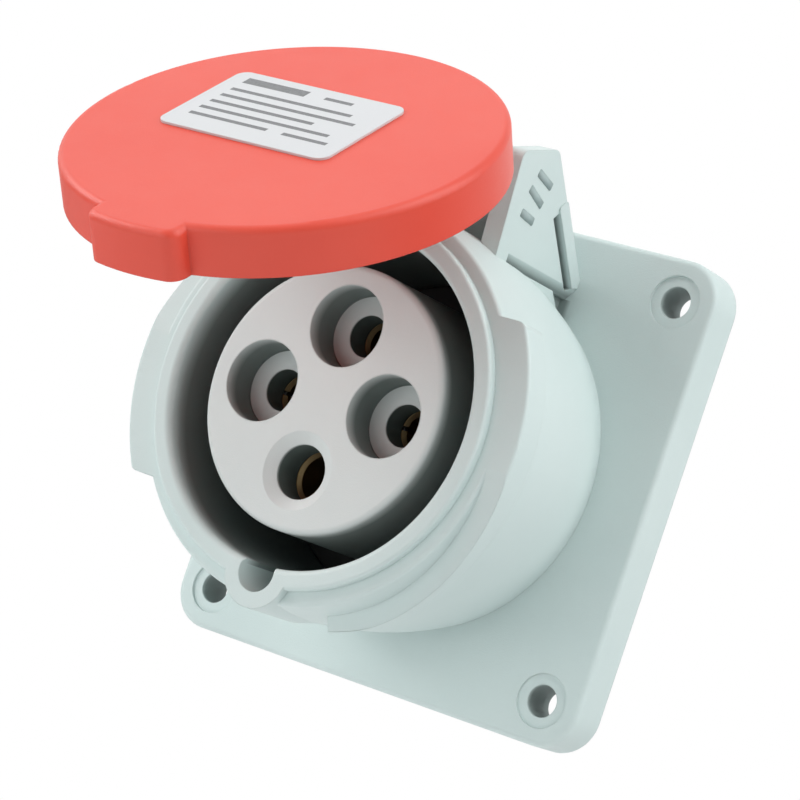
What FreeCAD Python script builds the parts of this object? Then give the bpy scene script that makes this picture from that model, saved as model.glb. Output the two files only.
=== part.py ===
import FreeCAD, Part
import math
import os

Vector = FreeCAD.Vector
os.makedirs("parts", exist_ok=True)

# A square-flanged industrial panel socket, three poles and earth, with a sprung lid.
# The panel is the plane y = 0, the socket looks along -Y, Z is up, sizes are millimetres.

# Flange
flange_margin = 4.5
flange_depth = 8.0
flange_plate = 3.5
flange_skirt = 2.8
flange_corner_r = 7.0
flange_edge_r = 1.0
hole_inset = 7.5
hole_r = 2.75
hole_seat_width = 1.85
hole_seat_depth = 0.4
hole_boss_wall = 2.45

# Body and collar of the housing
collar_reach = 40.0
well_width = 6.0
bore_lip_r = 1.1
rim_wall = 3.3
rim_step = 1.7
shoulder_width = 2.3
belly_swell = 0.8
belly_back = 13.0
root_waist = 2.8
spigot_wall = 2.25
spigot_cover = 2.0
edge_r = 0.6
well_depth = 40.0
ledge_thickness = 6.0

# Bayonet lugs on the collar
lug_height = 3.8
lug_thickness = 5.8
lug_slope = 3.6
lug_head_z = 20.5
lug_flat_end = 5.0
lug_ramp = 10.6
lug_sweep = 72.0
lug_corner_r = 2.5

# Keyway at six o'clock
key_r = 3.4
key_offset = 1.3
key_wall = 2.7
key_length = 26.0
key_straight = 14.0
key_tail = 16.0

# Hinge
pin_r = 2.0
pin_back = 18.0
pin_rise = 9.5
pin_chamfer = 0.3
pin_end_gap = 0.2
cheek_gap = 25.0
cheek_thickness = 3.5
cheek_blind = 1.2
cheek_ahead = 7.5
cheek_rise_front = 5.1
cheek_rise_back = 8.4
cheek_back = 2.7
cheek_drop = 9.2
cheek_rake = 2.8
cheek_corner_r = 2.0
web_thickness = 2.6
web_overhang = 0.3
web_length = 16.2
web_root = 1.5
groove_depth = 1.4
groove_width = 1.9
groove_ahead = 2.0
slot_end = 1.0
pocket_length = 7.0
pocket_drop = 6.0
pocket_depth = 2.2
running_fit = 0.05
seat_fit = 0.02

# Contact carrier and its rear half
pole_margin = 10.2
carrier_setback = 1.7
carrier_flange_width = 6.0
carrier_flange = 4.0
carrier_edge_r = 1.0
part_gap = 0.15
pitch_r = 12.4
recess_width = 3.3
recess_depth = 7.0
lip_thickness = 5.0
line_pin_r = 3.0
earth_pin_r = 4.0
entry_gap = 0.6
earth_sink_width = 2.0
earth_sink_depth = 1.2
earth_lip = 6.0
base_depth = 22.0
base_step = 3.6
base_flange = 3.0
base_edge_r = 1.0
funnel_flare = 1.1

# Contacts and terminals
sleeve_wall = 1.55
sleeve_bore_depth = 33.0
sleeve_chamfer = 0.6
slit_width = 0.7
slit_length = 12.0
grip_wall = 0.5
grip_length = 4.0
grip_back = 2.0
grip_opening = 1.6
chamber_gap = 0.3
collar_step = 1.2
collar_length = 3.0
terminal_wall = 2.5
terminal_length = 16.0
wire_r = 3.1
wire_depth = 12.0
clamp_back = 10.0

# Screws
clamp_screw_r = 2.0
clamp_head_r = 3.2
clamp_head = 2.2
clamp_head_lift = 0.2
clamp_tip_gap = 0.1
clamp_way_gap = 0.5
fixing_r = 1.5
fixing_head_r = 2.75
fixing_head = 2.2
fixing_head_gap = 0.4
fixing_floor = 1.0
fixing_angle = 45.0
centre_screw_r = 2.0
centre_head_r = 3.6
centre_head = 2.6
centre_grip = 8.0
centre_depth = 12.0
driver_slot = 0.8
driver_depth = 1.0
screw_edge_r = 0.5
screw_tip_gap = 0.5

# Seals
plug_seal_height = 3.0
lid_seal_width = 3.8
lid_seal_gap = 0.3

# Lid
lid_open = 51.0
lid_rim_gap = 1.0
lid_depth = 8.0
lid_plate = 2.4
lid_wall = 2.1
lid_edge_r = 1.2
lid_shoulder_gap = 0.5
tab_half = 8.6
tab_length = 3.1
tab_corner_r = 2.5
tab_wall = 1.5
arm_inner = 5.5
arm_side_gap = 0.5
arm_clear = 1.0
arm_root = 2.0
arm_shy = 0.3
knuckle_wall = 2.2
bridge_start = 9.0
bridge_stop = 2.0
bridge_thickness = 2.0
hook_half = 5.0
hook_reach = 6.0
hook_thickness = 2.0
hook_inset = 2.0
label_width = 33.0
label_height = 22.0
label_corner_r = 2.0
label_thickness = 0.4
label_x = -3.85
label_z = 4.35

# Lid spring
wire_spring_r = 0.55
coil_gap = 0.55
coil_turns = 6
leg_inset = 3.0
leg_length = 16.0
spring_gap = 0.1

# Places that follow from the sizes
carrier_r = pitch_r + pole_margin
bore_r = carrier_r + well_width
rim_r = bore_r + rim_wall
shoulder_r = rim_r + shoulder_width
belly_r = shoulder_r + belly_swell
root_r = shoulder_r - root_waist
lug_r = shoulder_r + lug_height
key_centre_r = bore_r + key_offset
flange_side = 2 * (lug_r + flange_margin)
flange_front = -flange_depth
hole_half = flange_side / 2 - hole_inset
hole_seat_r = hole_r + hole_seat_width
hole_boss_r = hole_r + hole_boss_wall
rim_y = flange_front - collar_reach
shoulder_y = rim_y + rim_step
well_floor = rim_y + well_depth
ledge_back = well_floor + ledge_thickness
pin_y = rim_y + pin_back
pin_z = shoulder_r + pin_rise
knuckle_r = pin_r + knuckle_wall
carrier_face = rim_y + carrier_setback
carrier_back = ledge_back + carrier_flange
carrier_flange_r = carrier_r + carrier_flange_width
spigot_r = carrier_flange_r + part_gap + spigot_wall
spigot_back = carrier_back + spigot_cover
base_r = carrier_flange_r - base_step
base_back = carrier_back + base_depth
fixing_circle_r = (carrier_r + carrier_flange_r) / 2
fixing_depth = ledge_thickness - fixing_floor
recess_r = line_pin_r + entry_gap + recess_width
earth_sink_r = earth_pin_r + entry_gap + earth_sink_width
terminal_r = wire_r + terminal_wall
terminal_back = carrier_back + terminal_length
funnel_r = wire_r + funnel_flare
cheek_in = cheek_gap / 2
cheek_out = cheek_in + cheek_thickness
arm_outer = cheek_in - arm_side_gap
coil_r = pin_r + coil_gap + wire_spring_r
coil_half = arm_inner - coil_gap - wire_spring_r
lid_skirt_y = shoulder_y - lid_shoulder_gap
lid_face_y = lid_skirt_y - lid_depth
lid_inside_y = lid_face_y + lid_plate
lid_inner_r = rim_r + lid_rim_gap
lid_r = lid_inner_r + lid_wall
tab_reach = lid_r + tab_length
seal_outer_r = lid_inner_r - part_gap
seal_inner_r = seal_outer_r - lid_seal_width
clamp_y = carrier_back + clamp_back
Y_AXIS = Vector(0, 1, 0)
X_AXIS = Vector(1, 0, 0)
ORIGIN = Vector(0, 0, 0)
PIN_POINT = Vector(0, pin_y, pin_z)
POLES = {"l1": 180.0, "l2": 90.0, "l3": 0.0, "earth": 270.0}


def turn_plane(u, v):
    """Radius and y, for a profile that is turned about the socket's axis."""
    return Vector(u, v, 0)


def face_plane(y):
    """Places x and z on a plane square to the socket's axis."""
    return lambda u, v: Vector(u, y, v)


def side_plane(x):
    """Places y and z on a plane seen from the side."""
    return lambda u, v: Vector(x, u, v)


def rounded_face(points, place):
    """Face inside a closed outline of (u, v) or (u, v, corner radius) points."""
    flat = [Vector(p[0], p[1], 0) for p in points]
    radii = [p[2] if len(p) > 2 else 0.0 for p in points]
    stops = []
    for i, here in enumerate(flat):
        if radii[i] == 0:
            stops.append((here, None, here))
            continue
        before = (flat[i - 1] - here).normalize()
        after = (flat[(i + 1) % len(flat)] - here).normalize()
        half = before.getAngle(after) / 2
        reach = radii[i] / math.tan(half)
        inward = (before + after).normalize()
        middle = here + inward * (radii[i] / math.sin(half) - radii[i])
        stops.append((here + before * reach, middle, here + after * reach))
    edges = []
    for i, (start, middle, end) in enumerate(stops):
        if middle is not None:
            arc = [place(p.x, p.y) for p in (start, middle, end)]
            edges.append(Part.Arc(*arc).toShape())
        following = stops[(i + 1) % len(stops)][0]
        if (following - end).Length > 1e-6:
            edges.append(Part.makeLine(place(end.x, end.y), place(following.x, following.y)))
    return Part.Face(Part.Wire(edges))


def turned(points):
    """Solid of revolution about the socket's axis."""
    return rounded_face(points, turn_plane).revolve(ORIGIN, Y_AXIS, 360)


def slab(points, y_front, y_back):
    """Outline in x and z, extruded from the front plane to the back plane."""
    return rounded_face(points, face_plane(y_front)).extrude(Vector(0, y_back - y_front, 0))


def side_plate(points, x_low, x_high):
    """Outline in y and z, extruded across the width."""
    return rounded_face(points, side_plane(x_low)).extrude(Vector(x_high - x_low, 0, 0))


def rod(radius, y_front, y_back, x=0.0, z=0.0):
    """Round bar parallel to the socket's axis."""
    return Part.makeCylinder(radius, y_back - y_front, Vector(x, y_front, z), Y_AXIS)


def square(side, corner_r):
    """Outline of a square with rounded corners."""
    half = side / 2
    return [(sx * half, sz * half, corner_r) for sx, sz in ((-1, -1), (1, -1), (1, 1), (-1, 1))]


def about_axis(shape, angle):
    """Copy of a shape turned about the socket's axis, anticlockwise from the front."""
    copy = shape.copy()
    copy.rotate(ORIGIN, Y_AXIS, -angle)
    return copy


def at_rest(shape):
    """Swings a piece of the lid from its closed place to the open place it rests in."""
    copy = shape.copy()
    copy.rotate(PIN_POINT, X_AXIS, -lid_open)
    return copy


def hole_places():
    """The four screw holes of the flange."""
    return [(sx * hole_half, sz * hole_half) for sx in (-1, 1) for sz in (-1, 1)]


def flange():
    """Square plate with a skirt behind it, hollow for the gasket, and a boss at each screw hole."""
    outer = slab(square(flange_side, flange_corner_r), flange_front, 0)
    front_edges = [e for e in outer.Edges if max(v.Y for v in e.Vertexes) < flange_front + 0.01]
    outer = outer.makeFillet(flange_edge_r, front_edges)
    inside = square(flange_side - 2 * flange_skirt, flange_corner_r - flange_skirt)
    pocket = slab(inside, flange_front + flange_plate, 0)
    bosses = [rod(hole_boss_r, flange_front + flange_plate, 0, x, z) for x, z in hole_places()]
    return outer.cut(pocket).fuse([boss.common(outer) for boss in bosses])


def body_outside():
    """Barrel-shaped body with its collar, shoulder and rear spigot, still without its bore."""
    barrel_points = [
        turn_plane(shoulder_r, shoulder_y),
        turn_plane(belly_r, shoulder_y + belly_back),
        turn_plane(root_r, flange_front),
    ]
    barrel = Part.Wire([
        Part.Arc(*barrel_points).toShape(),
        Part.makeLine(barrel_points[2], turn_plane(0, flange_front)),
        Part.makeLine(turn_plane(0, flange_front), turn_plane(0, shoulder_y)),
        Part.makeLine(turn_plane(0, shoulder_y), barrel_points[0]),
    ])
    body = Part.Face(barrel).revolve(ORIGIN, Y_AXIS, 360)
    corner = [e for e in body.Edges if abs(e.Vertexes[0].Y - shoulder_y) < 0.01
              and e.BoundBox.ZLength > 2 * rim_r and e.BoundBox.YLength < 0.01]
    body = body.makeFillet(edge_r, corner)
    rim = turned([(0, rim_y), (rim_r, rim_y, edge_r), (rim_r, shoulder_y + 1), (0, shoulder_y + 1)])
    spigot = turned([(0, flange_front), (spigot_r, flange_front),
                     (spigot_r, spigot_back, edge_r), (0, spigot_back)])
    return body.fuse([rim, spigot])


def lug():
    """Bayonet lug: flat at its rounded head, its front sloping back towards its tail."""
    back = shoulder_y + lug_thickness
    section = [(bore_r, shoulder_y), (lug_r, shoulder_y, edge_r), (lug_r, back, edge_r),
               (belly_r - 1, back + lug_slope), (bore_r, back + lug_slope)]
    sector = rounded_face(section, turn_plane).revolve(ORIGIN, Y_AXIS, lug_sweep + 90)
    sector = about_axis(sector, 90)
    reach = 2 * lug_r
    head_x = math.sqrt(lug_r ** 2 - lug_head_z ** 2)
    head = [(0, lug_head_z), (head_x, lug_head_z, lug_corner_r), (head_x + lug_head_z, lug_head_z - head_x),
            (head_x + lug_head_z, -reach), (0, -reach)]
    slope = Part.makeBox(reach, reach, reach, Vector(0, shoulder_y - reach, -reach))
    slope.rotate(Vector(0, shoulder_y, 0), X_AXIS, lug_ramp)
    slope = about_axis(slope, -lug_flat_end)
    return sector.common(slab(head, shoulder_y, back + lug_slope)).cut(slope)


def key_boss():
    """Half-round swelling of the collar wall around the keyway."""
    radius = key_r + key_wall
    bar = rod(radius, rim_y, rim_y + key_straight, z=-key_centre_r)
    start = Vector(0, rim_y + key_straight, -key_centre_r)
    tail = Part.makeCone(radius, key_r, key_tail, start, Y_AXIS)
    return bar.fuse(tail)


def slope_frame():
    """Rear slope of the hinge tower: its foot, direction and inward normal in y and z."""
    foot = Vector(flange_front, pin_z - cheek_drop, 0)
    top = Vector(pin_y + cheek_back, pin_z + cheek_rise_back, 0)
    along = (top - foot).normalize()
    inward = Vector(-along.y, along.x, 0)
    return foot, top, along, inward


def hinge_tower():
    """Two cheeks that hold the pin, tied together by a sloping web behind them."""
    foot, top, along, inward = slope_frame()
    inside_z = math.sqrt(bore_r ** 2 - cheek_out ** 2)
    cheek = [
        (pin_y - cheek_ahead, pin_z + cheek_rise_front, cheek_corner_r),
        (top.x, top.y, cheek_corner_r),
        (foot.x, foot.y),
        (flange_front, inside_z),
        (pin_y - cheek_ahead + cheek_rake, inside_z),
    ]
    pieces = [side_plate(cheek, s * cheek_out, s * cheek_in) for s in (-1, 1)]
    crest = foot + along * web_length
    inner_crest = crest + inward * web_thickness
    inner_foot = foot + inward * web_thickness
    web = [(foot.x, foot.y), (crest.x, crest.y, edge_r), (inner_crest.x, inner_crest.y, edge_r),
           (inner_foot.x, inner_foot.y), (flange_front, foot.y - web_root)]
    width = cheek_out + web_overhang
    pieces.append(side_plate(web, -width, width))
    return pieces


def v_groove(line_start, line_end, width_way, side):
    """Groove in a cheek's outer face: a square wall along the line, a slope on the side of width_way."""
    face = side * (cheek_out + 0.01)
    deep = side * (cheek_out - groove_depth)
    corners = [
        Vector(face, line_start.x, line_start.y),
        Vector(deep, line_start.x, line_start.y),
        Vector(face, line_start.x + width_way.x * groove_width, line_start.y + width_way.y * groove_width),
    ]
    run = Vector(0, line_end.x - line_start.x, line_end.y - line_start.y)
    return Part.Face(Part.makePolygon(corners + corners[:1])).extrude(run)


def tower_grooves():
    """Grooves round the triangular panel on each cheek, and the pocket below its rear corner."""
    foot, top, along, inward = slope_frame()
    low = foot + inward * web_thickness
    high = low + along * (web_length - slot_end)
    sill = low.y - groove_width
    bar_start = Vector(pin_y - groove_ahead, sill, 0)
    bar_end = Vector(flange_front, sill, 0)
    pocket_front = flange_front - pocket_length
    pocket = [(pocket_front, sill), (flange_front, sill), (flange_front, sill - pocket_drop)]
    cuts = []
    for side in (-1, 1):
        cuts.append(v_groove(low, high, inward, side))
        cuts.append(v_groove(bar_start, bar_end, Vector(0, 1, 0), side))
        pocket_sides = (side * (cheek_out - pocket_depth), side * (cheek_out + web_overhang + 0.01))
        x_low, x_high = sorted(pocket_sides)
        cuts.append(side_plate(pocket, x_low, x_high))
    return cuts


def bore_cut():
    """Bore of the collar with its rounded lip, the ledge and the seat of the carrier behind it."""
    lip = bore_r + bore_lip_r
    bend = math.sqrt(0.5) * bore_lip_r
    mouth = [turn_plane(0, rim_y - 1), turn_plane(lip, rim_y - 1), turn_plane(lip, rim_y)]
    lip_middle = turn_plane(lip - bend, rim_y + bore_lip_r - bend)
    rounding = [mouth[2], lip_middle, turn_plane(bore_r, rim_y + bore_lip_r)]
    back = [turn_plane(bore_r, well_floor), turn_plane(0, well_floor)]
    edges = [
        Part.makeLine(mouth[0], mouth[1]),
        Part.makeLine(mouth[1], mouth[2]),
        Part.Arc(*rounding).toShape(),
        Part.makeLine(rounding[2], back[0]),
        Part.makeLine(back[0], back[1]),
        Part.makeLine(back[1], mouth[0]),
    ]
    well = Part.Face(Part.Wire(edges)).revolve(ORIGIN, Y_AXIS, 360)
    throat = rod(carrier_r + part_gap, well_floor - 1, ledge_back + 1)
    seat = rod(carrier_flange_r + part_gap, ledge_back, spigot_back + 1)
    return [well, throat, seat]


def fixing_places():
    """The two screws that hold the carrier in the housing."""
    return [(fixing_circle_r * math.cos(a), fixing_circle_r * math.sin(a))
            for a in (math.radians(fixing_angle), math.radians(fixing_angle + 180))]


def housing():
    """One grey moulding: flange, body, collar, lugs and hinge tower."""
    shape = flange().fuse([body_outside(), lug(), about_axis(lug(), 180), key_boss()] + hinge_tower())
    cuts = bore_cut()
    cuts.append(rod(key_r, rim_y - 1, rim_y + key_length, z=-key_centre_r))
    for x, z in hole_places():
        cuts.append(rod(hole_r, flange_front - 1, 1, x, z))
        cuts.append(rod(hole_seat_r, flange_front - 1, flange_front + hole_seat_depth, x, z))
    fixing_end = ledge_back - fixing_depth - screw_tip_gap
    for x, z in fixing_places():
        cuts.append(rod(fixing_r + seat_fit, fixing_end, ledge_back + 1, x, z))
    pin_hole = Part.makeCylinder(
        pin_r + seat_fit, 2 * cheek_out - cheek_blind, Vector(-cheek_out, pin_y, pin_z), X_AXIS)
    cuts.append(pin_hole)
    return shape.cut(cuts + tower_grooves()).removeSplitter()


def panel_gasket():
    """Rubber gasket that fills the hollow of the flange, cut away round the screw bosses."""
    side = flange_side - 2 * (flange_skirt + part_gap)
    plate = slab(square(side, flange_corner_r - flange_skirt - part_gap), flange_front + flange_plate, 0)
    cuts = [rod(spigot_r + part_gap, flange_front, 1)]
    cuts += [rod(hole_boss_r + part_gap, flange_front, 1, x, z) for x, z in hole_places()]
    return plate.cut(cuts)


def plug_seal():
    """Rubber ring at the bottom of the well, which the plug's collar presses on."""
    inner = carrier_r + part_gap
    outer = bore_r - part_gap
    top = well_floor - plug_seal_height
    return turned([(inner, top, edge_r), (outer, top, edge_r), (outer, well_floor), (inner, well_floor)])


def pin_radius(pole):
    """Radius of the plug's pin at one pole."""
    return earth_pin_r if pole == "earth" else line_pin_r


def sleeve_sizes(pole):
    """Where the contact's slit sleeve starts and its outer radius."""
    if pole == "earth":
        front = carrier_face + earth_sink_depth + earth_lip + chamber_gap
    else:
        front = carrier_face + recess_depth + lip_thickness + chamber_gap
    return front, pin_radius(pole) + running_fit + sleeve_wall


def at_pole(shape, pole):
    """Moves a shape from the socket's axis to one pole."""
    copy = shape.copy()
    angle = math.radians(POLES[pole])
    copy.translate(Vector(pitch_r * math.cos(angle), 0, pitch_r * math.sin(angle)))
    return copy


def collar_radius(sleeve_r):
    """Radius of the collar that locks a contact between the two halves of the carrier."""
    return sleeve_r + collar_step + grip_wall


def contact_carrier():
    """Front half of the insert: a round core with four contact chambers and a base flange."""
    shape = turned([
        (0, carrier_face), (carrier_r, carrier_face, carrier_edge_r), (carrier_r, ledge_back),
        (carrier_flange_r, ledge_back), (carrier_flange_r, carrier_back), (0, carrier_back),
    ])
    cuts = [rod(centre_screw_r + seat_fit, carrier_back - centre_depth - screw_tip_gap, carrier_back + 1)]
    for x, z in fixing_places():
        cuts.append(rod(fixing_r + part_gap, ledge_back - 1, carrier_back + 1, x, z))
    for pole in POLES:
        sleeve_front, sleeve_r = sleeve_sizes(pole)
        entry = pin_radius(pole) + entry_gap
        chamber = sleeve_r + grip_wall + chamber_gap
        collar = collar_radius(sleeve_r) + part_gap
        if pole == "earth":
            mouth = Part.makeCone(earth_sink_r, entry, earth_sink_depth, Vector(0, carrier_face, 0), Y_AXIS)
        else:
            mouth = rod(recess_r, carrier_face - 1, carrier_face + recess_depth)
        cuts.append(at_pole(mouth, pole))
        cuts.append(at_pole(rod(entry, carrier_face, sleeve_front), pole))
        cuts.append(at_pole(rod(chamber, sleeve_front - chamber_gap, carrier_back + 1), pole))
        cuts.append(at_pole(rod(collar, carrier_back - collar_length, carrier_back + 1), pole))
    return shape.cut(cuts).removeSplitter()


def contact(pole):
    """Turned brass contact: slit sleeve in front, collar, and terminal barrel behind."""
    sleeve_front, sleeve_r = sleeve_sizes(pole)
    bore = pin_radius(pole) + running_fit
    reach = 2 * collar_radius(sleeve_r)
    collar_front = carrier_back - collar_length
    blank = turned([
        (0, sleeve_front), (sleeve_r, sleeve_front, screw_edge_r), (sleeve_r, collar_front),
        (collar_radius(sleeve_r), collar_front), (collar_radius(sleeve_r), carrier_back),
        (terminal_r, carrier_back), (terminal_r, terminal_back, screw_edge_r), (0, terminal_back),
    ])
    slit = Vector(-reach / 2, sleeve_front - 1, -slit_width / 2)
    cuts = [
        rod(bore, sleeve_front - 1, sleeve_front + sleeve_bore_depth),
        Part.makeCone(bore + sleeve_chamfer, bore, sleeve_chamfer, Vector(0, sleeve_front, 0), Y_AXIS),
        rod(wire_r, terminal_back - wire_depth, terminal_back + 1),
        Part.makeBox(reach, slit_length + 1, slit_width, slit),
        Part.makeCylinder(clamp_screw_r + seat_fit, reach, Vector(0, clamp_y, 0), X_AXIS),
    ]
    shape = about_axis(blank.cut(cuts), POLES[pole])
    return at_pole(shape, pole)


def contact_grip(pole):
    """Open spring ring that closes the slit sleeve on the plug's pin."""
    sleeve_front, sleeve_r = sleeve_sizes(pole)
    front = sleeve_front + grip_back
    ring = rod(sleeve_r + seat_fit + grip_wall, front, front + grip_length)
    reach = 2 * sleeve_r
    opening = Part.makeBox(reach, 2 * grip_length, grip_opening, Vector(0, front - 1, -grip_opening / 2))
    ring = ring.cut([rod(sleeve_r + seat_fit, front - 1, front + grip_length + 1), opening])
    return at_pole(about_axis(ring, POLES[pole] + 90), pole)


def slotted_screw(shank_r, shank, head_r, head):
    """Slotted cheese-head screw along -Y, its head resting on the plane y = 0."""
    body = rod(shank_r, -shank, head / 2)
    cap = turned([(0, 0), (head_r, 0), (head_r, head, screw_edge_r), (0, head)])
    slot_corner = Vector(-2 * head_r, head - driver_depth, -driver_slot / 2)
    slot = Part.makeBox(4 * head_r, head, driver_slot, slot_corner)
    return body.fuse(cap).cut(slot).removeSplitter()


def terminal_screw(pole):
    """Clamp screw of one terminal, screwed in from the side of the insert."""
    seat = terminal_r + clamp_head_lift
    screw = slotted_screw(clamp_screw_r, seat - wire_r - clamp_tip_gap, clamp_head_r, clamp_head)
    screw.translate(Vector(0, seat, 0))
    screw.rotate(ORIGIN, Vector(0, 0, 1), -90)
    screw.translate(Vector(0, clamp_y, 0))
    return at_pole(about_axis(screw, POLES[pole]), pole)


def terminal_base():
    """Rear half of the insert: insulating barriers round the terminals, with wire funnels."""
    shape = turned([
        (0, carrier_back), (carrier_flange_r, carrier_back),
        (carrier_flange_r, carrier_back + base_flange, edge_r), (base_r, carrier_back + base_flange),
        (base_r, base_back, base_edge_r), (0, base_back),
    ])
    cuts = [
        rod(centre_screw_r + part_gap, carrier_back - 1, base_back + 1),
        rod(centre_head_r + part_gap, carrier_back + centre_grip, base_back + 1),
    ]
    for x, z in fixing_places():
        cuts.append(rod(fixing_r + part_gap, carrier_back - 1, base_back, x, z))
        cuts.append(rod(fixing_head_r + fixing_head_gap, carrier_back + base_flange, base_back + 1, x, z))
    for pole in POLES:
        cuts.append(at_pole(rod(terminal_r + part_gap, carrier_back - 1, terminal_back + part_gap), pole))
        funnel_start = Vector(0, terminal_back, 0)
        funnel = Part.makeCone(wire_r, funnel_r, base_back - terminal_back, funnel_start, Y_AXIS)
        cuts.append(at_pole(funnel, pole))
        way = Part.makeCylinder(clamp_head_r + clamp_way_gap, base_r, Vector(0, clamp_y, 0), X_AXIS)
        cuts.append(at_pole(about_axis(way, POLES[pole]), pole))
    return shape.cut(cuts).removeSplitter()


def carrier_screws():
    """Two screws from behind, through both halves of the insert into the housing's ledge."""
    screws = []
    shank = fixing_depth + carrier_flange + base_flange
    for x, z in fixing_places():
        screw = slotted_screw(fixing_r, shank, fixing_head_r, fixing_head)
        screw.translate(Vector(x, carrier_back + base_flange, z))
        screws.append(screw)
    return Part.makeCompound(screws)


def centre_screw():
    """Screw on the axis that holds the two halves of the insert together."""
    screw = slotted_screw(centre_screw_r, centre_depth + centre_grip, centre_head_r, centre_head)
    screw.translate(Vector(0, carrier_back + centre_grip, 0))
    return screw


def lid_outline(radius, half, reach, corner_r, y_front, y_back):
    """Disc with a finger tab at its lowest point; the tab ends in an arc about the disc's centre."""
    disc = rod(radius, y_front, y_back)
    block = slab([(-half, -2 * reach), (half, -2 * reach), (half, 0), (-half, 0)], y_front, y_back)
    tab = block.common(rod(reach, y_front, y_back))
    corners = [e for e in tab.Edges if e.BoundBox.YLength > lid_edge_r
               and e.BoundBox.ZLength < 0.01 and e.BoundBox.ZMax < -half]
    return disc.fuse(tab.makeFillet(corner_r, corners)).removeSplitter()


def arm_frame():
    """Directions along the lid's arms and square to them, and their span, in the closed place."""
    skirt_top = Vector(0, lid_inside_y, lid_r - lid_wall / 2)
    span = (skirt_top - PIN_POINT).Length
    along = (skirt_top - PIN_POINT).normalize()
    outward = Vector(0, along.z, -along.y)
    return along, outward, span


def side_points(*places):
    """The y and z of points given as vectors, for a side outline."""
    return [(p.y, p.z) for p in places]


def lid_arms():
    """Two arms with knuckles round the pin, and the bridge that the spring presses on."""
    along, outward, span = arm_frame()
    root_z = lid_inner_r - arm_root
    crown_z = math.sqrt(lid_r ** 2 - arm_outer ** 2) - arm_shy
    bridge_end = span - bridge_stop
    arm = [
        (lid_face_y + lid_edge_r, root_z),
        (lid_skirt_y, root_z),
        (lid_skirt_y, shoulder_r + arm_clear),
        (pin_y, pin_z - knuckle_r),
        (pin_y, pin_z),
    ]
    arm += side_points(PIN_POINT + outward * knuckle_r)
    arm.append((lid_face_y + lid_edge_r, crown_z))
    pieces = []
    for side in (-1, 1):
        x_low, x_high = sorted((side * arm_inner, side * arm_outer))
        pieces.append(side_plate(arm, x_low, x_high))
        pieces.append(Part.makeCylinder(knuckle_r, x_high - x_low, Vector(x_low, pin_y, pin_z), X_AXIS))
    rest = coil_r - wire_spring_r - spring_gap
    bridge = side_points(
        PIN_POINT + along * bridge_start + outward * rest,
        PIN_POINT + along * bridge_end + outward * rest,
        PIN_POINT + along * bridge_end + outward * (rest - bridge_thickness),
        PIN_POINT + along * bridge_start + outward * (rest - bridge_thickness),
    )
    pieces.append(side_plate(bridge, -arm_inner - 1, arm_inner + 1))
    return pieces


def lid():
    """Red cap with a skirt, finger tab, hinge arms and the hook that holds a plug."""
    shape = lid_outline(lid_r, tab_half, tab_reach, tab_corner_r, lid_face_y, lid_skirt_y)
    front_edges = [e for e in shape.Edges if max(v.Y for v in e.Vertexes) < lid_face_y + 0.01]
    shape = shape.makeFillet(lid_edge_r, front_edges)
    shape = shape.fuse(lid_arms())
    inner_tab = tab_reach - tab_wall
    cavity = lid_outline(
        lid_inner_r, tab_half - tab_wall, inner_tab, tab_corner_r - tab_wall, lid_inside_y, lid_skirt_y + 1)
    shape = shape.cut(cavity)
    hook_corner = Vector(-hook_half, lid_inside_y - lid_plate / 2, hook_inset - seal_inner_r)
    hook = Part.makeBox(2 * hook_half, hook_reach + lid_plate / 2, hook_thickness, hook_corner)
    pin_hole = Part.makeCylinder(
        pin_r + running_fit, 2 * arm_outer + 2, Vector(-arm_outer - 1, pin_y, pin_z), X_AXIS)
    return at_rest(shape.fuse(hook).cut(pin_hole).removeSplitter())


def lid_seal():
    """Rubber ring inside the lid that meets the rim of the collar."""
    free = rim_y - lid_seal_gap
    ring = turned([(seal_inner_r, lid_inside_y), (seal_outer_r, lid_inside_y),
                   (seal_outer_r, free, edge_r), (seal_inner_r, free, edge_r)])
    return at_rest(ring)


def lid_label():
    """Plain white plate stuck on the lid."""
    w = label_width / 2
    h = label_height / 2
    r = label_corner_r
    points = [(label_x - w, label_z - h, r), (label_x + w, label_z - h, r),
              (label_x + w, label_z + h, r), (label_x - w, label_z + h, r)]
    return at_rest(slab(points, lid_face_y - label_thickness, lid_face_y))


def hinge_pin():
    """Steel pin, flush with the left cheek and blind in the right one."""
    length = 2 * cheek_out - cheek_blind - pin_end_gap
    pin = Part.makeCylinder(pin_r, length, Vector(-cheek_out, pin_y, pin_z), X_AXIS)
    ends = [e for e in pin.Edges if e.BoundBox.XLength < 0.01]
    return pin.makeChamfer(pin_chamfer, ends)


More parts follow.
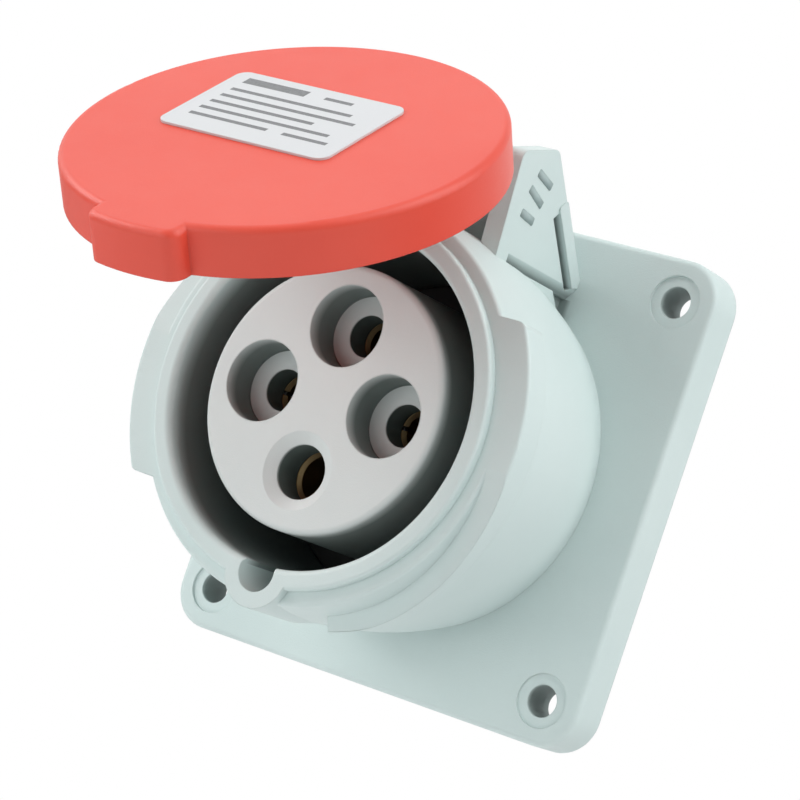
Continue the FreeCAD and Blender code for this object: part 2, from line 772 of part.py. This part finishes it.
def lid_spring():
    """Torsion spring on the pin: one leg on the web of the housing, the other on the lid's bridge."""
    foot, top, along, inward = slope_frame()
    rest = foot + along * (web_length - leg_inset) + inward * (web_thickness + wire_spring_r + spring_gap)
    to_rest = rest - Vector(pin_y, pin_z, 0)
    angle = math.atan2(to_rest.y, to_rest.x) + math.acos(coil_r / to_rest.Length)
    reach = math.sqrt(to_rest.Length ** 2 - coil_r ** 2)
    arm_way, arm_side, span = arm_frame()
    swing = FreeCAD.Rotation(X_AXIS, -lid_open)
    lid_way = swing.multVec(arm_way)
    lid_side = swing.multVec(arm_side)
    start = PIN_POINT + Vector(-coil_half, math.cos(angle) * coil_r, math.sin(angle) * coil_r)
    end = PIN_POINT + Vector(coil_half, 0, 0) + lid_side * coil_r
    housing_way = Vector(0, math.sin(angle), -math.cos(angle))
    end_angle = math.degrees(math.atan2(lid_side.z, lid_side.y))
    start_angle = math.degrees(angle)
    turns = coil_turns + ((end_angle - start_angle) % 360) / 360
    helix = Part.makeHelix(2 * coil_half / turns, 2 * coil_half, coil_r)
    helix.rotate(ORIGIN, Vector(1, 1, 1), 120)
    helix.rotate(ORIGIN, X_AXIS, start_angle)
    helix.translate(PIN_POINT - Vector(coil_half, 0, 0))
    section = Part.Wire(Part.makeCircle(wire_spring_r, start, housing_way))
    coil = Part.Wire(helix.Edges).makePipeShell([section], True, True)
    legs = [
        Part.makeCylinder(wire_spring_r, reach, start, housing_way),
        Part.makeCylinder(wire_spring_r, leg_length, end, lid_way),
        Part.makeSphere(wire_spring_r, start),
        Part.makeSphere(wire_spring_r, end),
    ]
    return coil.fuse(legs)


PIECES = {
    "housing": housing,
    "panel_gasket": panel_gasket,
    "plug_seal": plug_seal,
    "contact_carrier": contact_carrier,
    "terminal_base": terminal_base,
    "carrier_screws": carrier_screws,
    "centre_screw": centre_screw,
    "lid": lid,
    "lid_seal": lid_seal,
    "lid_label": lid_label,
    "hinge_pin": hinge_pin,
    "lid_spring": lid_spring,
}

for node, make in PIECES.items():
    make().exportStep("parts/" + node + ".step")

for pole in POLES:
    contact(pole).exportStep("parts/contact_" + pole + ".step")
    contact_grip(pole).exportStep("parts/contact_grip_" + pole + ".step")
    terminal_screw(pole).exportStep("parts/terminal_screw_" + pole + ".step")
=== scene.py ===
# %% [markdown]
# # An industrial panel socket, dressed for its portrait
# The solids of this socket come from a CAD model and already have the right shapes and
# sizes. What is left for Blender is what the eye reads as real: finishes, printed and
# moulded marks, the wound spring, light and a camera. This first step only fetches the
# solids.

# %% Fetch the solids
import math

import bmesh
import bpy
from mathutils import Matrix, Vector


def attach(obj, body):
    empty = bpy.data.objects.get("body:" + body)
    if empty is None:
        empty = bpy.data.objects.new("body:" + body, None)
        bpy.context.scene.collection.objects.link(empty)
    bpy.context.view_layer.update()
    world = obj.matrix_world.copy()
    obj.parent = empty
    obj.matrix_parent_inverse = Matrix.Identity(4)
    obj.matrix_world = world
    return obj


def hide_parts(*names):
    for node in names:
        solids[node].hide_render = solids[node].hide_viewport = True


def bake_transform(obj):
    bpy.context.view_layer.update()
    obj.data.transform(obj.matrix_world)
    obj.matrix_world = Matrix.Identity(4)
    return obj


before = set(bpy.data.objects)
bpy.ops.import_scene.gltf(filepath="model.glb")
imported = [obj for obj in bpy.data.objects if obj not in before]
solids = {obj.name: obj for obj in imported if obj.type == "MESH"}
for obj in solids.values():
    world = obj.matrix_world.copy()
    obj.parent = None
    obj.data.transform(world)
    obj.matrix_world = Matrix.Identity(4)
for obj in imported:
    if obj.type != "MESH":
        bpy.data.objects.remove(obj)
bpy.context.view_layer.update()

print("solids:", len(solids))

# %% [markdown]
# ## Writing shader maths as plain expressions
# A finish is a small network of nodes. Wiring each Math node by hand hides the idea, so
# one class stands for "a value that changes over the surface" and lets Python's own signs
# do the wiring: `1 - mask * 0.3` adds two Math nodes. Colours can't go through a Math
# node, which would turn them grey, so they have their own `mix`.

# %% A value that can be reckoned with
class Value:
    """One output of a node. Arithmetic on it adds Math nodes."""

    def __init__(self, finish, socket):
        self.finish = finish
        self.socket = socket

    def maths(self, operation, other=0.0, turned=False):
        first, second = (other, self) if turned else (self, other)
        return self.finish.node("ShaderNodeMath", {"operation": operation}, {0: first, 1: second})

    def __add__(self, other):
        return self.maths("ADD", other)

    def __radd__(self, other):
        return self.maths("ADD", other, turned=True)

    def __sub__(self, other):
        return self.maths("SUBTRACT", other)

    def __rsub__(self, other):
        return self.maths("SUBTRACT", other, turned=True)

    def __mul__(self, other):
        return self.maths("MULTIPLY", other)

    def __gt__(self, other):
        return self.maths("GREATER_THAN", other)

    def __lt__(self, other):
        return self.maths("LESS_THAN", other)


# %% A finish and its nodes
BEVEL_SAMPLES = 4
LEAN_STARTS, LEAN_FULL = 0.01, 0.16


class Finish:
    """A material or world under construction. node() adds any node and gives back one of its outputs."""

    def __init__(self, owner):
        self.owner = owner
        owner.use_nodes = True
        self.tree = owner.node_tree
        self.tree.nodes.clear()

    def node(self, kind, settings=None, inputs=None, output=0):
        made = self.tree.nodes.new(kind)
        for name, setting in (settings or {}).items():
            setattr(made, name, setting)
        for key, value in (inputs or {}).items():
            if isinstance(value, Value):
                self.tree.links.new(value.socket, made.inputs[key])
            else:
                made.inputs[key].default_value = value
        return Value(self, made.outputs[output]) if len(made.outputs) else None

    def mix(self, amount, plain, other):
        """Blends two colours; amount is a number or a Value from 0 to 1."""
        settings = {"data_type": "RGBA", "clamp_factor": True}
        return self.node("ShaderNodeMix", settings, {0: amount, 6: plain, 7: other}, output=2)

    def place(self):
        """Where on the piece, in metres, at rest."""
        return self.node("ShaderNodeTexCoord", output="Object")

    def along(self, axis):
        """One of X, Y and Z of that place, in mm."""
        return self.node("ShaderNodeSeparateXYZ", {}, {0: self.place()}, output=axis) * 1000.0

    def noise(self, per_metre, detail=2.0, rough=0.5):
        """Cloudy pattern from 0 to 1 with that many clouds to a metre."""
        inputs = {"Vector": self.place(), "Scale": per_metre, "Detail": detail, "Roughness": rough}
        return self.node("ShaderNodeTexNoise", {}, inputs, output="Fac")

    def ramp(self, value, low, high):
        """Spreads the values from low to high over 0 to 1, and holds the rest at 0 or 1."""
        inputs = {"Value": value, "From Min": low, "From Max": high}
        return self.node("ShaderNodeMapRange", {"clamp": True}, inputs, output="Result")

    def rounded_normal(self, radius):
        """The surface's normal as if every edge were rounded to that radius, in metres."""
        return self.node("ShaderNodeBevel", {"samples": BEVEL_SAMPLES}, {"Radius": radius})

    def edge_mask(self, radius):
        """1 on sharp edges, 0 on flats: how far the rounded normal leans from the true one."""
        rounded = self.rounded_normal(radius)
        true = self.node("ShaderNodeNewGeometry", output="Normal")
        settings = {"operation": "DOT_PRODUCT"}
        lean = self.node("ShaderNodeVectorMath", settings, {0: rounded, 1: true}, output="Value")
        return self.ramp(1 - lean, LEAN_STARTS, LEAN_FULL)

    def surface(self, colour, roughness, height, depth, edge, fixed):
        """The shader itself: varying colour, roughness and bump, and plain numbers for the rest."""
        rounded = self.rounded_normal(edge)
        bump = {"Strength": 1.0, "Distance": depth, "Height": height, "Normal": rounded}
        normal = self.node("ShaderNodeBump", {}, bump)
        inputs = {"Base Color": colour, "Roughness": roughness, "Normal": normal}
        inputs.update(fixed)
        shader = self.node("ShaderNodeBsdfPrincipled", {}, inputs)
        self.node("ShaderNodeOutputMaterial", {}, {"Surface": shader})
        return self.owner


def new_finish(name):
    """An empty material by that name, ready for its nodes."""
    return Finish(bpy.data.materials.new(name))


# %% [markdown]
# ## Moulded plastic
# The housing, both halves of the insert and the lid are injection mouldings. Close up,
# such a surface isn't smooth: the steel mould was spark-eroded, which leaves a fine
# orange-peel grain about a fifth of a millimetre across. The pigment is a little cloudy,
# and the raised edges are rubbed smoother and paler than the flats. One recipe with
# different colours and grain covers them all, which keeps the family likeness of parts
# that come from one maker. Shade is painted into the colour where little light reaches:
# on the walls of the well and of the recesses, in the pin holes, in the screw holes and in
# the grooves of the hinge cheeks. Each of these places is a mask, worked out from where a
# point lies on the socket, and the recipe takes the sum of them.

# %% Where shade is painted
# The colour that painted shade darkens towards, and how strongly each shaded place is darkened.
PAINTED_SHADE = (0.092, 0.122, 0.112, 1)
WELL_SHADING, HOLE_SHADING, GROOVE_SHADING = 0.82, 0.7, 0.72
WALL_SHADING, PIN_HOLE_SHADING = 0.9, 1.3

# In mm: how far the screw holes lie off the middle, both ways, and the pin holes off the axis.
HOLE_OFF, POLE_OFF = 35.0, 12.4

# In mm off the middle plane: where a cheek's groove starts to darken, is darkest, and ends.
GROOVE_LIP, GROOVE_SHADE, GROOVE_FLOOR = 15.9, 15.0, 13.6

# Lines in Y and Z, in mm, that the three grooves of a cheek lie beside.
SLOPE_LINE = ((-9.75, 32.58), (-21.35, 43.16))
SILL_LINE = ((-32.0, 30.6), (-8.0, 30.6))
CORNER_LINE, CORNER_TOP = ((-15.0, 30.7), (-8.0, 24.7)), 30.7


def about_line(finish, x, z):
    """Distance in mm from a line along Y through x, z."""
    across, height = finish.along("X") - x, finish.along("Z") - z
    return (across * across + height * height).maths("SQRT")


def ring(finish, x, z, inner, outer, top, bottom):
    """1 between two radii about that line and deeper than bottom, 0 in front of top, in mm."""
    radius = about_line(finish, x, z)
    return finish.ramp(finish.along("Y"), top, bottom) * (radius > inner) * (radius < outer)


def strip(finish, start, end, low, high):
    """1 beside a line in the Y-Z plane, from low to high off it, over its whole length."""
    way = Vector((end[0] - start[0], end[1] - start[1])).normalized()
    length = math.dist(start, end)
    deep, height = finish.along("Y") - start[0], finish.along("Z") - start[1]
    run = deep * way.x + height * way.y
    off = deep * -way.y + height * way.x
    return (run > 0.0) * (run < length) * (off > low) * (off < high)


def housing_painted_shade(finish):
    """Painted shade on the walls of the well, in the four screw holes and in the grooves of the cheeks.
    """
    well = ring(finish, 0.0, 0.0, inner=24.0, outer=29.4, top=-46.9, bottom=-43.0)
    painted_shade = well * (finish.along("Y") < 0.0) * WELL_SHADING
    for x in (-HOLE_OFF, HOLE_OFF):
        for z in (-HOLE_OFF, HOLE_OFF):
            hole = ring(finish, x, z, inner=0.0, outer=2.85, top=-7.8, bottom=-6.6)
            painted_shade = painted_shade + hole * HOLE_SHADING
    side = finish.along("X").maths("ABSOLUTE")
    sunk = finish.ramp(side, GROOVE_LIP, GROOVE_SHADE) * (side > GROOVE_FLOOR)
    slope = strip(finish, *SLOPE_LINE, low=-0.05, high=2.0)
    sill = strip(finish, *SILL_LINE, low=-0.05, high=2.0)
    corner = strip(finish, *CORNER_LINE, low=0.0, high=5.0) * (finish.along("Z") < CORNER_TOP)
    return painted_shade + sunk * slope.maths("MAXIMUM", sill).maths("MAXIMUM", corner) * GROOVE_SHADING


def insert_painted_shade(finish):
    """Painted shade on the outer wall, on the walls of the three recesses and in the four pin holes."""
    painted_shade = ring(finish, 0.0, 0.0, inner=22.2, outer=24.0, top=-46.0, bottom=-43.5) * WALL_SHADING
    for x, z in ((-POLE_OFF, 0.0), (0.0, POLE_OFF), (POLE_OFF, 0.0)):
        painted_shade = painted_shade + ring(finish, x, z, inner=6.7, outer=7.1, top=-46.8, bottom=-43.5)
        pin_hole = ring(finish, x, z, inner=0.0, outer=3.8, top=-39.2, bottom=-38.8)
        painted_shade = painted_shade + pin_hole * PIN_HOLE_SHADING
    earth_hole = ring(finish, 0.0, -POLE_OFF, inner=0.0, outer=4.8, top=-45.1, bottom=-44.4)
    return painted_shade + earth_hole * PIN_HOLE_SHADING


# %% Moulded plastic
MOULDED_EDGE = 0.0003


def moulded(name, colour, pale, roughness, grain_depth, painted_shade=None):
    """Cloudy pigment, fine grain and rubbed edges; the last argument, if given, is a function that gives
    a mask of painted shade.
    """
    finish = new_finish(name)
    clouds = finish.noise(38.0, detail=3.0)
    grain = finish.noise(5200.0, detail=2.0, rough=0.6)
    flow = finish.noise(160.0, detail=4.0, rough=0.6)
    rubbed = finish.edge_mask(MOULDED_EDGE)
    tinted = finish.mix(finish.ramp(clouds, 0.3, 0.7) * 0.5, colour, pale)
    speck = [0.6 * c for c in colour[:3]] + [1.0]
    speckled = finish.mix(finish.ramp(grain, 0.62, 0.8) * 0.10, tinted, speck)
    worn_and_shaded = finish.mix(rubbed * 0.35, speckled, pale)
    gloss = roughness + (flow - 0.5) * 0.08 + (grain - 0.5) * 0.10 - rubbed * 0.06
    if painted_shade:
        # Painted shade: the mask darkens the colour and roughens the surface where little light reaches.
        shade_amount = (painted_shade(finish) * (0.70 + clouds * 0.33)).maths("MINIMUM", 0.97)
        worn_and_shaded = finish.mix(shade_amount, worn_and_shaded, PAINTED_SHADE)
        gloss = gloss + shade_amount * 0.2
    fixed = {"IOR": 1.49, "Specular IOR Level": 0.5}
    return finish.surface(worn_and_shaded, gloss, grain + flow * 0.25, grain_depth, MOULDED_EDGE, fixed)


shell_plastic = moulded(
    "shell_plastic", (0.575, 0.680, 0.668, 1), (0.650, 0.745, 0.730, 1),
    roughness=0.46, grain_depth=0.000035, painted_shade=housing_painted_shade,
)
insert_plastic = moulded(
    "insert_plastic", (0.615, 0.665, 0.655, 1), (0.670, 0.715, 0.700, 1),
    roughness=0.50, grain_depth=0.000030, painted_shade=insert_painted_shade,
)
rear_plastic = moulded(
    "rear_plastic", (0.045, 0.048, 0.050, 1), (0.080, 0.083, 0.085, 1),
    roughness=0.52, grain_depth=0.000035,
)
lid_plastic = moulded(
    "lid_plastic", (0.695, 0.058, 0.030, 1), (0.735, 0.084, 0.050, 1),
    roughness=0.40, grain_depth=0.000028,
)
# Painted shade: the cheek marks are coloured darker, as if they lay sunk in shadow.
shadow_mark_plastic = moulded(
    "shadow_mark_plastic", (0.330, 0.420, 0.415, 1), (0.420, 0.510, 0.500, 1),
    roughness=0.55, grain_depth=0.000030,
)
mouldings = (shell_plastic, insert_plastic, rear_plastic, lid_plastic, shadow_mark_plastic)
print("mouldings:", [plastic.name for plastic in mouldings])

# %% [markdown]
# ## Rubber
# The gasket under the flange, the ring at the bottom of the well and the ring in the lid
# are black rubber. Rubber hardly shines, but a trace of talc from the mould greys it in
# soft patches, so colour and roughness both wander a little.

# %% Rubber
def rubber(name):
    finish = new_finish(name)
    bloom = finish.ramp(finish.noise(120.0, detail=5.0, rough=0.65), 0.42, 0.75)
    pores = finish.noise(3600.0, detail=3.0, rough=0.6)
    colour = finish.mix(bloom * 0.5, (0.012, 0.015, 0.014, 1), (0.042, 0.050, 0.046, 1))
    gloss = 0.66 + bloom * 0.16 - pores * 0.08
    return finish.surface(colour, gloss, pores, depth=0.00003, edge=0.0003, fixed={"IOR": 1.5})


seal_rubber = rubber("seal_rubber")
print("rubber:", seal_rubber.name)

# %% [markdown]
# ## Turned, drawn and plated metal
# The contacts are turned brass, so the cutting tool has left fine rings round the axis
# of the socket. The screws and the pin are plated or drawn steel. A stretched noise makes
# both kinds of tool marks: squeezed along the axis for rings, across it for drawing.

# %% Metals
def metal(name, colour, dark, squeeze, roughness, depth):
    finish = new_finish(name)
    settings = {"operation": "MULTIPLY"}
    squeezed = finish.node("ShaderNodeVectorMath", settings, {0: finish.place(), 1: squeeze})
    inputs = {"Vector": squeezed, "Scale": 1.0, "Detail": 3.0}
    marks = finish.node("ShaderNodeTexNoise", {}, inputs, output="Fac")
    stain = finish.ramp(finish.noise(260.0, detail=4.0, rough=0.6), 0.45, 0.8)
    shade = finish.mix(stain * 0.45, colour, dark)
    shade = finish.mix(finish.ramp(marks, 0.35, 0.65) * 0.18, shade, dark)
    gloss = roughness + stain * 0.14 + (marks - 0.5) * 0.16
    return finish.surface(shade, gloss, marks, depth, edge=0.00015, fixed={"Metallic": 1.0})


contact_brass = metal(
    "contact_brass", (0.36, 0.26, 0.13, 1), (0.14, 0.10, 0.06, 1),
    squeeze=(500.0, 9000.0, 500.0), roughness=0.38, depth=0.000012,
)
plated_steel = metal(
    "plated_steel", (0.66, 0.67, 0.66, 1), (0.40, 0.41, 0.40, 1),
    squeeze=(2500.0, 2500.0, 2500.0), roughness=0.30, depth=0.000010,
)
drawn_steel = metal(
    "drawn_steel", (0.58, 0.58, 0.59, 1), (0.34, 0.34, 0.35, 1),
    squeeze=(600.0, 7000.0, 7000.0), roughness=0.27, depth=0.000010,
)
print("metals:", [made.name for made in (contact_brass, plated_steel, drawn_steel)])

# %% [markdown]
# ## The plate on the lid
# A white rating plate is stuck on the lid. This one stays unlettered: a thick bar and
# rows of thin ones stand where a maker would print. The bars are drawn by the shader. The
# lid stands open, so the shader first swings its coordinates back by the lid's 51 degrees
# about the hinge pin, and can then measure across and up the plate as if it lay flat.

# %% Printed plate
PIN = Vector((0.0, -0.030, 0.0437))
LID_OPEN = math.radians(51.0)

# In mm on the plate: left, right, low and high of the thick bar; left, right and low of the
# thin ones, and how high those are.
THICK_BAR = (-17.4, -5.0, 11.3, 13.4)
THIN_BARS = (
    (-1.5, 4.0, 11.9), (-17.4, 6.5, 8.2), (-17.4, 9.0, 5.6), (-17.4, 3.0, 3.0),
    (-17.4, 8.0, 0.4), (-17.4, -2.0, -2.2), (1.0, 9.6, -2.2),
)
THIN_BAR_HIGH = 0.95


def printed_plate(name):
    finish = new_finish(name)
    inputs = {"Vector": finish.place(), "Center": PIN, "Angle": LID_OPEN}
    flat = finish.node("ShaderNodeVectorRotate", {"rotation_type": "X_AXIS"}, inputs)
    across = finish.node("ShaderNodeSeparateXYZ", {}, {0: flat}, output="X")
    up = finish.node("ShaderNodeSeparateXYZ", {}, {0: flat}, output="Z")

    def bar(left, right, low, high):
        return (across > left / 1000) * (across < right / 1000) * (up > low / 1000) * (up < high / 1000)

    ink = bar(*THICK_BAR)
    for left, right, low in THIN_BARS:
        ink = ink + bar(left, right, low, low + THIN_BAR_HIGH)
    fibre = finish.noise(2400.0, detail=3.0)
    paper = finish.mix(fibre * 0.5, (0.59, 0.603, 0.617, 1), (0.655, 0.666, 0.678, 1))
    printed = finish.mix(ink * (0.78 + fibre * 0.2), paper, (0.07, 0.075, 0.08, 1))
    gloss = 0.42 + fibre * 0.1 - ink * 0.08
    return finish.surface(printed, gloss, fibre, depth=0.000006, edge=0.0001, fixed={"IOR": 1.5})


plate_white = printed_plate("plate_white")
print("plate:", plate_white.name, "with", 1 + len(THIN_BARS), "bars")

# %% [markdown]
# ## Handing out the finishes
# Each solid keeps its shape and gets its finish in its material slot. A list by name is
# enough, and a loop adds the four poles, which repeat the same three metal pieces.

# %% Dress the solids
finishes = {
    "housing": shell_plastic, "contact_carrier": insert_plastic, "terminal_base": rear_plastic,
    "lid": lid_plastic, "lid_label": plate_white, "lid_seal": seal_rubber, "plug_seal": seal_rubber,
    "panel_gasket": seal_rubber, "hinge_pin": drawn_steel, "lid_spring": drawn_steel,
    "carrier_screws": plated_steel, "centre_screw": plated_steel,
}
for pole in ("l1", "l2", "l3", "earth"):
    finishes["contact_" + pole] = contact_brass
    finishes["contact_grip_" + pole] = drawn_steel
    finishes["terminal_screw_" + pole] = plated_steel
for name, solid in solids.items():
    solid.data.materials.clear()
    solid.data.materials.append(finishes[name])
print("dressed:", len(finishes), "of", len(solids))

# %% [markdown]
# ## The spring, wound as wire
# The lid closes by a torsion spring on the hinge pin. Its short leg lies on the web of
# the housing and its long leg on the bridge of the lid. A curve through the leg, the six
# turns and the other leg gives one unbroken wire. The spring joins two bodies, the
# housing and the lid.

# %% Wind the spring
COIL_R, COIL_HALF, WIRE_R = 3.1, 4.4, 0.55
START_ANGLE, END_ANGLE = 57.62, 62.52
TURNS = 6 + (END_ANGLE - START_ANGLE) / 360
HOUSING_LEG, LID_LEG = 9.94, 16.0
TURN_STEPS, HOUSING_LEG_STEPS, LID_LEG_STEPS = 40, 12, 16


def spring_line():
    """Points of the wire's centre line, in mm from the pin."""
    first, last = math.radians(START_ANGLE), math.radians(END_ANGLE)
    start = Vector((-COIL_HALF, COIL_R * math.cos(first), COIL_R * math.sin(first)))
    end = Vector((COIL_HALF, COIL_R * math.cos(last), COIL_R * math.sin(last)))
    down = Vector((0, math.sin(first), -math.cos(first)))
    out = Vector((0, -math.sin(last), math.cos(last)))
    line = [start + down * HOUSING_LEG * (1 - i / HOUSING_LEG_STEPS) for i in range(HOUSING_LEG_STEPS)]
    steps = round(TURNS * TURN_STEPS)
    for i in range(steps + 1):
        angle = first + math.tau * TURNS * i / steps
        across = -COIL_HALF + 2 * COIL_HALF * i / steps
        line.append(Vector((across, COIL_R * math.cos(angle), COIL_R * math.sin(angle))))
    line += [end + out * LID_LEG * (i / LID_LEG_STEPS) for i in range(1, LID_LEG_STEPS + 1)]
    return line


def add_piece(name, mesh):
    """Puts a mesh into the scene as a piece of that name, shaded smooth."""
    mesh.polygons.foreach_set("use_smooth", [True] * len(mesh.polygons))
    piece = bpy.data.objects.new(name, mesh)
    bpy.context.collection.objects.link(piece)
    return piece


def wire_mesh(name, line, radius):
    """A mesh tube along points in metres, with closed ends."""
    curve = bpy.data.curves.new(name + "_line", "CURVE")
    curve.dimensions = "3D"
    curve.bevel_depth = radius
    curve.bevel_resolution = 4
    curve.use_fill_caps = True
    spline = curve.splines.new("POLY")
    spline.points.add(len(line) - 1)
    for point, place in zip(spline.points, line):
        point.co = (*place, 1.0)
    source = bpy.data.objects.new(name + "_source", curve)
    bpy.context.collection.objects.link(source)
    bpy.context.view_layer.update()
    mesh = bpy.data.meshes.new_from_object(source.evaluated_get(bpy.context.evaluated_depsgraph_get()))
    bpy.data.objects.remove(source)
    return add_piece(name, mesh)


spring = wire_mesh("torsion_spring", [PIN + p / 1000 for p in spring_line()], WIRE_R / 1000)
spring.data.materials.clear()
spring.data.materials.append(drawn_steel)
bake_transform(spring)
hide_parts("lid_spring")
print("spring:", round(TURNS, 2), "turns,", len(spring.data.polygons), "faces")

# %% [markdown]
# ## Small marks on the hinge cheek
# The right cheek carries three short marks, darker than the shell. They are kept as plain
# dashes, softly rounded, and stand a fifth of a millimetre proud; their darker colour is
# painted shade, as if they were sunk into the cheek. A bevelled block in bmesh is the right
# tool: the rounding catches the light, which bump alone can't do at the silhouette.

# %% Raised dashes
CHEEK_X = 16.0
DASH_THICK, DASH_WIDE, DASH_ROUNDING = 0.4, 1.45, 0.12

# Y and Z of each dash's middle and its length, in mm, and its turn in degrees.
DASHES = ((-28.6, 46.4, 5.2, -12.0), (-29.6, 43.1, 5.2, -18.0), (-30.2, 39.4, 4.4, -6.0))


def dash(name, centre, size, turn):
    """A rounded bar lying against the cheek, turned about X, sizes in mm."""
    shape = bmesh.new()
    bmesh.ops.create_cube(shape, size=1.0)
    bmesh.ops.scale(shape, vec=[s / 1000 for s in size], verts=shape.verts)
    bmesh.ops.bevel(shape, geom=shape.edges[:], offset=DASH_ROUNDING / 1000, segments=3, affect="EDGES")
    turned = Matrix.Rotation(math.radians(turn), 3, "X")
    bmesh.ops.rotate(shape, cent=(0, 0, 0), matrix=turned, verts=shape.verts)
    bmesh.ops.translate(shape, vec=[c / 1000 for c in centre], verts=shape.verts)
    mesh = bpy.data.meshes.new(name)
    shape.to_mesh(mesh)
    shape.free()
    mesh.materials.append(shadow_mark_plastic)
    piece = add_piece(name, mesh)
    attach(piece, "base")
    return piece


marks = [
    dash("cheek_mark_" + str(i + 1), (CHEEK_X, y, z), (DASH_THICK, length, DASH_WIDE), turn)
    for i, (y, z, length, turn) in enumerate(DASHES)
]
print("marks:", len(marks))

# %% [markdown]
# ## Floor and light
# The portrait is a product shot on white. The floor is pale and very wide and lies well
# below the socket, which on the real panel hangs in the air. Far from the socket it glows
# white to the camera, so that the portrait has no edge; near it the shadow stays. The
# world shows white to the camera and to reflections, and lights everything softly and less
# strongly. Six soft lights shape the socket. The key stands far to the left and leaves the
# well, the right of the flange and the left walls of the recesses dark. A low one in
# front reaches under the open lid. One on the right, a little behind, brushes the sides of
# the body and the flange. Three stand high up and are there for the lid: two light its top
# evenly, and a weak one behind it is mirrored there as a pale sheen.

# %% Floor
# In metres: half the floor's side, its height, and how far out the glow starts and is full.
FLOOR_HALF, FLOOR_Z = 30.0, -0.30
GLOW_STARTS, GLOW_FULL = 0.35, 1.1


def white_floor(name):
    finish = new_finish(name)
    patches = finish.noise(3.0, detail=2.0)
    colour = finish.mix(patches, (0.90, 0.90, 0.90, 1), (0.93, 0.93, 0.93, 1))
    matt = finish.node("ShaderNodeBsdfPrincipled", {}, {"Base Color": colour, "Roughness": 0.9})
    glow = finish.node("ShaderNodeEmission", {}, {"Color": (1, 1, 1, 1), "Strength": 1.0})
    seen = finish.node("ShaderNodeLightPath", output="Is Camera Ray")
    settings = {"operation": "LENGTH"}
    reach = finish.node("ShaderNodeVectorMath", settings, {0: finish.place()}, output="Value")
    glowing = seen * (0.55 + finish.ramp(reach, GLOW_STARTS, GLOW_FULL) * 0.45)
    both = finish.node("ShaderNodeMixShader", {}, {0: glowing, 1: matt, 2: glow})
    finish.node("ShaderNodeOutputMaterial", {}, {"Surface": both})
    return finish.owner


floor_mesh = bpy.data.meshes.new("floor")
corners = [(x * FLOOR_HALF, y * FLOOR_HALF, 0) for x, y in ((-1, -1), (1, -1), (1, 1), (-1, 1))]
floor_mesh.from_pydata(corners, [], [(0, 1, 2, 3)])
floor_mesh.materials.append(white_floor("floor_white"))
floor = bpy.data.objects.new("floor", floor_mesh)
floor.location.z = FLOOR_Z
bpy.context.collection.objects.link(floor)
print("floor:", 2 * FLOOR_HALF, "m wide, at", FLOOR_Z, "m")

# %% World
studio = bpy.data.worlds.new("studio")
bpy.context.scene.world = studio
sky = Finish(studio)
rays = ("Is Camera Ray", "Is Glossy Ray", "Is Transmission Ray")
seen, mirrored, through = [sky.node("ShaderNodeLightPath", output=ray) for ray in rays]
shown = seen.maths("MAXIMUM", mirrored).maths("MAXIMUM", through)
dim = sky.node("ShaderNodeBackground", {}, {"Color": (0.97, 0.985, 1.0, 1), "Strength": 0.22})
white = sky.node("ShaderNodeBackground", {}, {"Color": (1, 1, 1, 1), "Strength": 1.0})
whole_sky = sky.node("ShaderNodeMixShader", {}, {0: shown, 1: dim, 2: white})
sky.node("ShaderNodeOutputWorld", {}, {"Surface": whole_sky})
print("world:", studio.name)

# %% Soft lights
AIM = Vector((0.0, -0.040, 0.0))
LAMP_DISTANCE, LAMP_SIZE = 1.2, 0.8


def soft_light(name, direction, watts):
    """A square softbox that faces the socket from that direction."""
    lamp = bpy.data.lights.new(name, "AREA")
    lamp.shape = "SQUARE"
    lamp.size = LAMP_SIZE
    lamp.energy = watts
    box = bpy.data.objects.new(name, lamp)
    way = Vector(direction).normalized()
    box.location = AIM + way * LAMP_DISTANCE
    box.rotation_euler = way.to_track_quat("Z", "Y").to_euler()
    bpy.context.collection.objects.link(box)
    return box


lamps = [
    soft_light("key_box", (-0.90, -0.50, 0.50), watts=8.2),
    soft_light("low_box", (-0.30, -1.00, -0.25), watts=4.8),
    soft_light("right_box", (1.0, 0.22, 0.60), watts=5.6),
    soft_light("high_box", (0.60, -0.20, 0.80), watts=6.8),
    soft_light("top_box", (0.0, -0.30, 1.0), watts=2.2),
    soft_light("back_box", (-0.54, 0.24, 0.80), watts=0.9),
]
print("lamps:", [lamp.name for lamp in lamps])

# %% [markdown]
# ## The camera
# The photograph looks at the socket from its right and slightly from below, and is itself
# tilted by about nineteen degrees, so the flange seems to lean. A long lens keeps the
# sides of the flange nearly parallel. The camera's own axes are worked out from its
# azimuth, elevation and roll, and put straight into its matrix.

# %% Camera
AZIMUTH, ELEVATION, ROLL = math.radians(33.081), math.radians(-3.820), math.radians(18.818)
CAMERA_PLACE = (0.28562, -0.46260, -0.02990)
SENSOR_WIDTH, FOCAL_LENGTH = 36.0, 140.403

back = Vector((
    math.sin(AZIMUTH) * math.cos(ELEVATION),
    -math.cos(AZIMUTH) * math.cos(ELEVATION),
    math.sin(ELEVATION),
))
level = Vector((math.cos(AZIMUTH), math.sin(AZIMUTH), 0.0))
upright = back.cross(level)
right = math.cos(ROLL) * level + math.sin(ROLL) * upright
up = -math.sin(ROLL) * level + math.cos(ROLL) * upright
lens = bpy.data.cameras.new("portrait")
lens.sensor_width = SENSOR_WIDTH
lens.lens = FOCAL_LENGTH
camera = bpy.data.objects.new("portrait", lens)
bpy.context.collection.objects.link(camera)
facing = Matrix((right, up, back)).transposed().to_4x4()
camera.matrix_world = Matrix.Translation(CAMERA_PLACE) @ facing
bpy.context.scene.camera = camera
bpy.context.scene.view_settings.view_transform = "Standard"
print("camera:", camera.name, "with a lens of", FOCAL_LENGTH, "mm")
